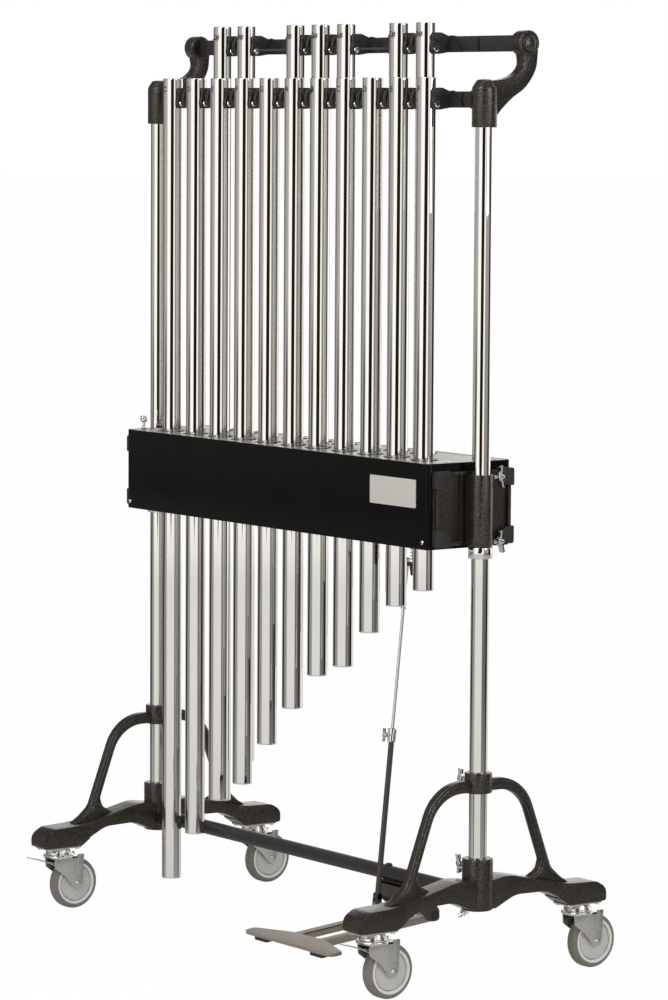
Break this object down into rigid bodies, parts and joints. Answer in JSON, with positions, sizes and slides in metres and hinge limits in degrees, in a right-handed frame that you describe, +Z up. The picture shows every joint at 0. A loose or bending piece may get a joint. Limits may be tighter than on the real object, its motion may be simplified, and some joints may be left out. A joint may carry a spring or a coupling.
{
  "type": "tubular bells",
  "caption": "Orchestral tubular bells: two rows of chrome tubes hung on cords in a rolling frame, with a damper box across the tubes worked by a floor pedal and rod.",
  "frame": {"origin": "on the floor, at the middle of the whole footprint", "axes": "+X along the rows to the high notes (the player's right), +Y from the player to the back, +Z up"},
  "size_m": [1.078, 0.6248, 1.7285],
  "materials": {
    "chrome": "bright polished chrome plate",
    "hammered_paint": "dark bronze-grey hammered paint on castings",
    "rail_paint": "satin dark paint",
    "box_paint": "semi-gloss black paint",
    "lid_paint": "smooth grey metallic paint",
    "aluminium": "mill finish",
    "felt": "dense dark felt",
    "cord": "braided dark cord",
    "zinc": "bright zinc plate",
    "wheel_rubber": "plain grey rubber",
    "rod_paint": "satin dark bronze paint"
  },
  "bodies": {
    "base": {"leg_left": "hammered_paint", "leg_right": "hammered_paint", "crossbar": "rail_paint", "pedal_bracket": "rod_paint"},
    "frame": {"post_left": "chrome", "post_right": "chrome", "end_casting_left": "hammered_paint", "end_casting_right": "hammered_paint", "rail_natural": "rail_paint", "rail_accidental": "rail_paint", "cord_natural": "cord", "cord_accidental": "cord"},
    "box": {"box_shell": "box_paint", "box_lid": "lid_paint", "box_floor": "box_paint", "box_bracket_left": "hammered_paint", "box_bracket_right": "hammered_paint", "damper_spring": "zinc"},
    "dampers": {"damper_carriage": "aluminium", "damper_felt_natural": "felt", "damper_felt_accidental": "felt"},
    "crank": {"damper_crank": "rod_paint"},
    "knob": {"damper_knob": "chrome"},
    "pedal": {"pedal": "rod_paint"},
    "lower_rod": {"rod_lower": "rod_paint"},
    "upper_rod": {"rod_upper": "chrome"},
    "clamp_screw": {"rod_clamp_screw": "chrome"},
    "wing_screw_left_upper": {"wing_screw_left_upper": "chrome"},
    "wing_screw_left_lower": {"wing_screw_left_lower": "chrome"},
    "fork_front_left": {"caster_fork_front_left": "zinc"},
    "wheel_front_left": {"caster_wheel_front_left": "wheel_rubber"},
    "brake_left": {"caster_brake_left": "zinc"},
    "fork_rear_left": {"caster_fork_rear_left": "zinc"},
    "wheel_rear_left": {"caster_wheel_rear_left": "wheel_rubber"},
    "wing_screw_right_upper": {"wing_screw_right_upper": "chrome"},
    "wing_screw_right_lower": {"wing_screw_right_lower": "chrome"},
    "fork_front_right": {"caster_fork_front_right": "zinc"},
    "wheel_front_right": {"caster_wheel_front_right": "wheel_rubber"},
    "brake_right": {"caster_brake_right": "zinc"},
    "fork_rear_right": {"caster_fork_rear_right": "zinc"},
    "wheel_rear_right": {"caster_wheel_rear_right": "wheel_rubber"},
    "tube_C5": {"tube_C5": "chrome"},
    "tube_D5": {"tube_D5": "chrome"},
    "tube_E5": {"tube_E5": "chrome"},
    "tube_F5": {"tube_F5": "chrome"},
    "tube_G5": {"tube_G5": "chrome"},
    "tube_A5": {"tube_A5": "chrome"},
    "tube_B5": {"tube_B5": "chrome"},
    "tube_C6": {"tube_C6": "chrome"},
    "tube_D6": {"tube_D6": "chrome"},
    "tube_E6": {"tube_E6": "chrome"},
    "tube_F6": {"tube_F6": "chrome"},
    "tube_C5_sharp": {"tube_C5_sharp": "chrome"},
    "tube_D5_sharp": {"tube_D5_sharp": "chrome"},
    "tube_F5_sharp": {"tube_F5_sharp": "chrome"},
    "tube_G5_sharp": {"tube_G5_sharp": "chrome"},
    "tube_A5_sharp": {"tube_A5_sharp": "chrome"},
    "tube_C6_sharp": {"tube_C6_sharp": "chrome"},
    "tube_D6_sharp": {"tube_D6_sharp": "chrome"}
  },
  "joints": [
    {"name": "frame_height", "type": "slide", "parent": "base", "child": "frame", "axis": [0, 0, 1], "range_m": [-0.025, 0]},
    {"name": "box_height", "type": "slide", "parent": "frame", "child": "box", "axis": [0, 0, 1], "range_m": [0, 0.02]},
    {"name": "pedal_pivot", "type": "hinge", "parent": "base", "child": "pedal", "pos_m": [0.284, 0.03461, 0.092], "axis": [1, 0, 0], "range_deg": [0, 4.5], "stiffness_Nm_per_rad": 20, "springref_deg": -22.92},
    {"name": "damper_slide", "type": "slide", "parent": "box", "child": "dampers", "axis": [0, 1, 0], "range_m": [0, 0.00674]},
    {"name": "crank_pivot", "type": "hinge", "parent": "box", "child": "crank", "pos_m": [0.287, -0.02939, 0.742], "axis": [1, 0, 0], "range_deg": [-15, 0], "deforming": ["damper_spring"]},
    {"name": "rod_pivot", "type": "hinge", "parent": "pedal", "child": "lower_rod", "pos_m": [0.287, -0.06439, 0.117], "axis": [1, 0, 0], "range_deg": [-4.63, 0]},
    {"name": "rod_length", "type": "slide", "parent": "lower_rod", "child": "upper_rod", "axis": [0, 0.1033, 0.9947], "range_m": [0, 0.0202]},
    {"name": "clamp_screw_turn", "type": "hinge", "parent": "lower_rod", "child": "clamp_screw", "pos_m": [0.287, -0.03206, 0.42833], "axis": [0, -0.9947, 0.1033], "range_deg": [0, 180]},
    {"name": "knob_turn", "type": "hinge", "parent": "box", "child": "knob", "pos_m": [-0.462, -0.07539, 0.9434], "axis": [0, 0, 1], "range_deg": [0, 180]},
    {"name": "wing_screw_left_upper_turn", "type": "hinge", "parent": "box", "child": "wing_screw_left_upper", "pos_m": [-0.51, -0.00739, 0.917], "axis": [0, 1, 0], "range_deg": [0, 180]},
    {"name": "wing_screw_left_lower_turn", "type": "hinge", "parent": "box", "child": "wing_screw_left_lower", "pos_m": [-0.51, -0.00739, 0.8005], "axis": [0, 1, 0], "range_deg": [0, 180]},
    {"name": "swivel_front_left", "type": "hinge", "parent": "base", "child": "fork_front_left", "pos_m": [-0.51, -0.24339, 0.1], "axis": [0, 0, 1], "continuous": true},
    {"name": "roll_front_left", "type": "hinge", "parent": "fork_front_left", "child": "wheel_front_left", "pos_m": [-0.51, -0.21039, 0.05], "axis": [1, 0, 0], "continuous": true},
    {"name": "brake_left_pivot", "type": "hinge", "parent": "fork_front_left", "child": "brake_left", "pos_m": [-0.51, -0.25239, 0.0925], "axis": [1, 0, 0], "range_deg": [0, 12]},
    {"name": "swivel_rear_left", "type": "hinge", "parent": "base", "child": "fork_rear_left", "pos_m": [-0.51, 0.22861, 0.1], "axis": [0, 0, 1], "continuous": true},
    {"name": "roll_rear_left", "type": "hinge", "parent": "fork_rear_left", "child": "wheel_rear_left", "pos_m": [-0.51, 0.26161, 0.05], "axis": [1, 0, 0], "continuous": true},
    {"name": "wing_screw_right_upper_turn", "type": "hinge", "parent": "box", "child": "wing_screw_right_upper", "pos_m": [0.51, -0.00739, 0.917], "axis": [0, 1, 0], "range_deg": [0, 180]},
    {"name": "wing_screw_right_lower_turn", "type": "hinge", "parent": "box", "child": "wing_screw_right_lower", "pos_m": [0.51, -0.00739, 0.8005], "axis": [0, 1, 0], "range_deg": [0, 180]},
    {"name": "swivel_front_right", "type": "hinge", "parent": "base", "child": "fork_front_right", "pos_m": [0.51, -0.24339, 0.1], "axis": [0, 0, 1], "continuous": true},
    {"name": "roll_front_right", "type": "hinge", "parent": "fork_front_right", "child": "wheel_front_right", "pos_m": [0.51, -0.21039, 0.05], "axis": [1, 0, 0], "continuous": true},
    {"name": "brake_right_pivot", "type": "hinge", "parent": "fork_front_right", "child": "brake_right", "pos_m": [0.51, -0.25239, 0.0925], "axis": [1, 0, 0], "range_deg": [0, 12]},
    {"name": "swivel_rear_right", "type": "hinge", "parent": "base", "child": "fork_rear_right", "pos_m": [0.51, 0.22861, 0.1], "axis": [0, 0, 1], "continuous": true},
    {"name": "roll_rear_right", "type": "hinge", "parent": "fork_rear_right", "child": "wheel_rear_right", "pos_m": [0.51, 0.26161, 0.05], "axis": [1, 0, 0], "continuous": true},
    {"name": "tube_C5_swing", "type": "hinge", "parent": "frame", "child": "tube_C5", "pos_m": [-0.4, -0.05039, 1.582], "axis": [1, 0, 0], "range_deg": [-0.42, 0]},
    {"name": "tube_D5_swing", "type": "hinge", "parent": "frame", "child": "tube_D5", "pos_m": [-0.32, -0.05039, 1.582], "axis": [1, 0, 0], "range_deg": [-0.42, 0]},
    {"name": "tube_E5_swing", "type": "hinge", "parent": "frame", "child": "tube_E5", "pos_m": [-0.24, -0.05039, 1.582], "axis": [1, 0, 0], "range_deg": [-0.42, 0]},
    {"name": "tube_F5_swing", "type": "hinge", "parent": "frame", "child": "tube_F5", "pos_m": [-0.16, -0.05039, 1.582], "axis": [1, 0, 0], "range_deg": [-0.42, 0]},
    {"name": "tube_G5_swing", "type": "hinge", "parent": "frame", "child": "tube_G5", "pos_m": [-0.08, -0.05039, 1.582], "axis": [1, 0, 0], "range_deg": [-0.42, 0]},
    {"name": "tube_A5_swing", "type": "hinge", "parent": "frame", "child": "tube_A5", "pos_m": [0, -0.05039, 1.582], "axis": [1, 0, 0], "range_deg": [-0.42, 0]},
    {"name": "tube_B5_swing", "type": "hinge", "parent": "frame", "child": "tube_B5", "pos_m": [0.08, -0.05039, 1.582], "axis": [1, 0, 0], "range_deg": [-0.42, 0]},
    {"name": "tube_C6_swing", "type": "hinge", "parent": "frame", "child": "tube_C6", "pos_m": [0.16, -0.05039, 1.582], "axis": [1, 0, 0], "range_deg": [-0.42, 0]},
    {"name": "tube_D6_swing", "type": "hinge", "parent": "frame", "child": "tube_D6", "pos_m": [0.24, -0.05039, 1.582], "axis": [1, 0, 0], "range_deg": [-0.42, 0]},
    {"name": "tube_E6_swing", "type": "hinge", "parent": "frame", "child": "tube_E6", "pos_m": [0.32, -0.05039, 1.582], "axis": [1, 0, 0], "range_deg": [-0.42, 0]},
    {"name": "tube_F6_swing", "type": "hinge", "parent": "frame", "child": "tube_F6", "pos_m": [0.4, -0.05039, 1.582], "axis": [1, 0, 0], "range_deg": [-0.42, 0]},
    {"name": "tube_C5_sharp_swing", "type": "hinge", "parent": "frame", "child": "tube_C5_sharp", "pos_m": [-0.36, 0.04061, 1.6825], "axis": [1, 0, 0], "range_deg": [-0.37, 0]},
    {"name": "tube_D5_sharp_swing", "type": "hinge", "parent": "frame", "child": "tube_D5_sharp", "pos_m": [-0.28, 0.04061, 1.6825], "axis": [1, 0, 0], "range_deg": [-0.37, 0]},
    {"name": "tube_F5_sharp_swing", "type": "hinge", "parent": "frame", "child": "tube_F5_sharp", "pos_m": [-0.12, 0.04061, 1.6825], "axis": [1, 0, 0], "range_deg": [-0.37, 0]},
    {"name": "tube_G5_sharp_swing", "type": "hinge", "parent": "frame", "child": "tube_G5_sharp", "pos_m": [-0.04, 0.04061, 1.6825], "axis": [1, 0, 0], "range_deg": [-0.37, 0]},
    {"name": "tube_A5_sharp_swing", "type": "hinge", "parent": "frame", "child": "tube_A5_sharp", "pos_m": [0.04, 0.04061, 1.6825], "axis": [1, 0, 0], "range_deg": [-0.37, 0]},
    {"name": "tube_C6_sharp_swing", "type": "hinge", "parent": "frame", "child": "tube_C6_sharp", "pos_m": [0.2, 0.04061, 1.6825], "axis": [1, 0, 0], "range_deg": [-0.37, 0]},
    {"name": "tube_D6_sharp_swing", "type": "hinge", "parent": "frame", "child": "tube_D6_sharp", "pos_m": [0.28, 0.04061, 1.6825], "axis": [1, 0, 0], "range_deg": [-0.37, 0]}
  ],
  "couplings": [
    {"joint": "damper_slide", "follows": "pedal_pivot", "m_per_rad": 0.0857},
    {"joint": "crank_pivot", "follows": "pedal_pivot", "ratio": -3.3333},
    {"joint": "rod_pivot", "follows": "pedal_pivot", "ratio": -1.0284},
    {"joint": "rod_length", "follows": "box_height", "ratio": 1.0054}
  ]
}
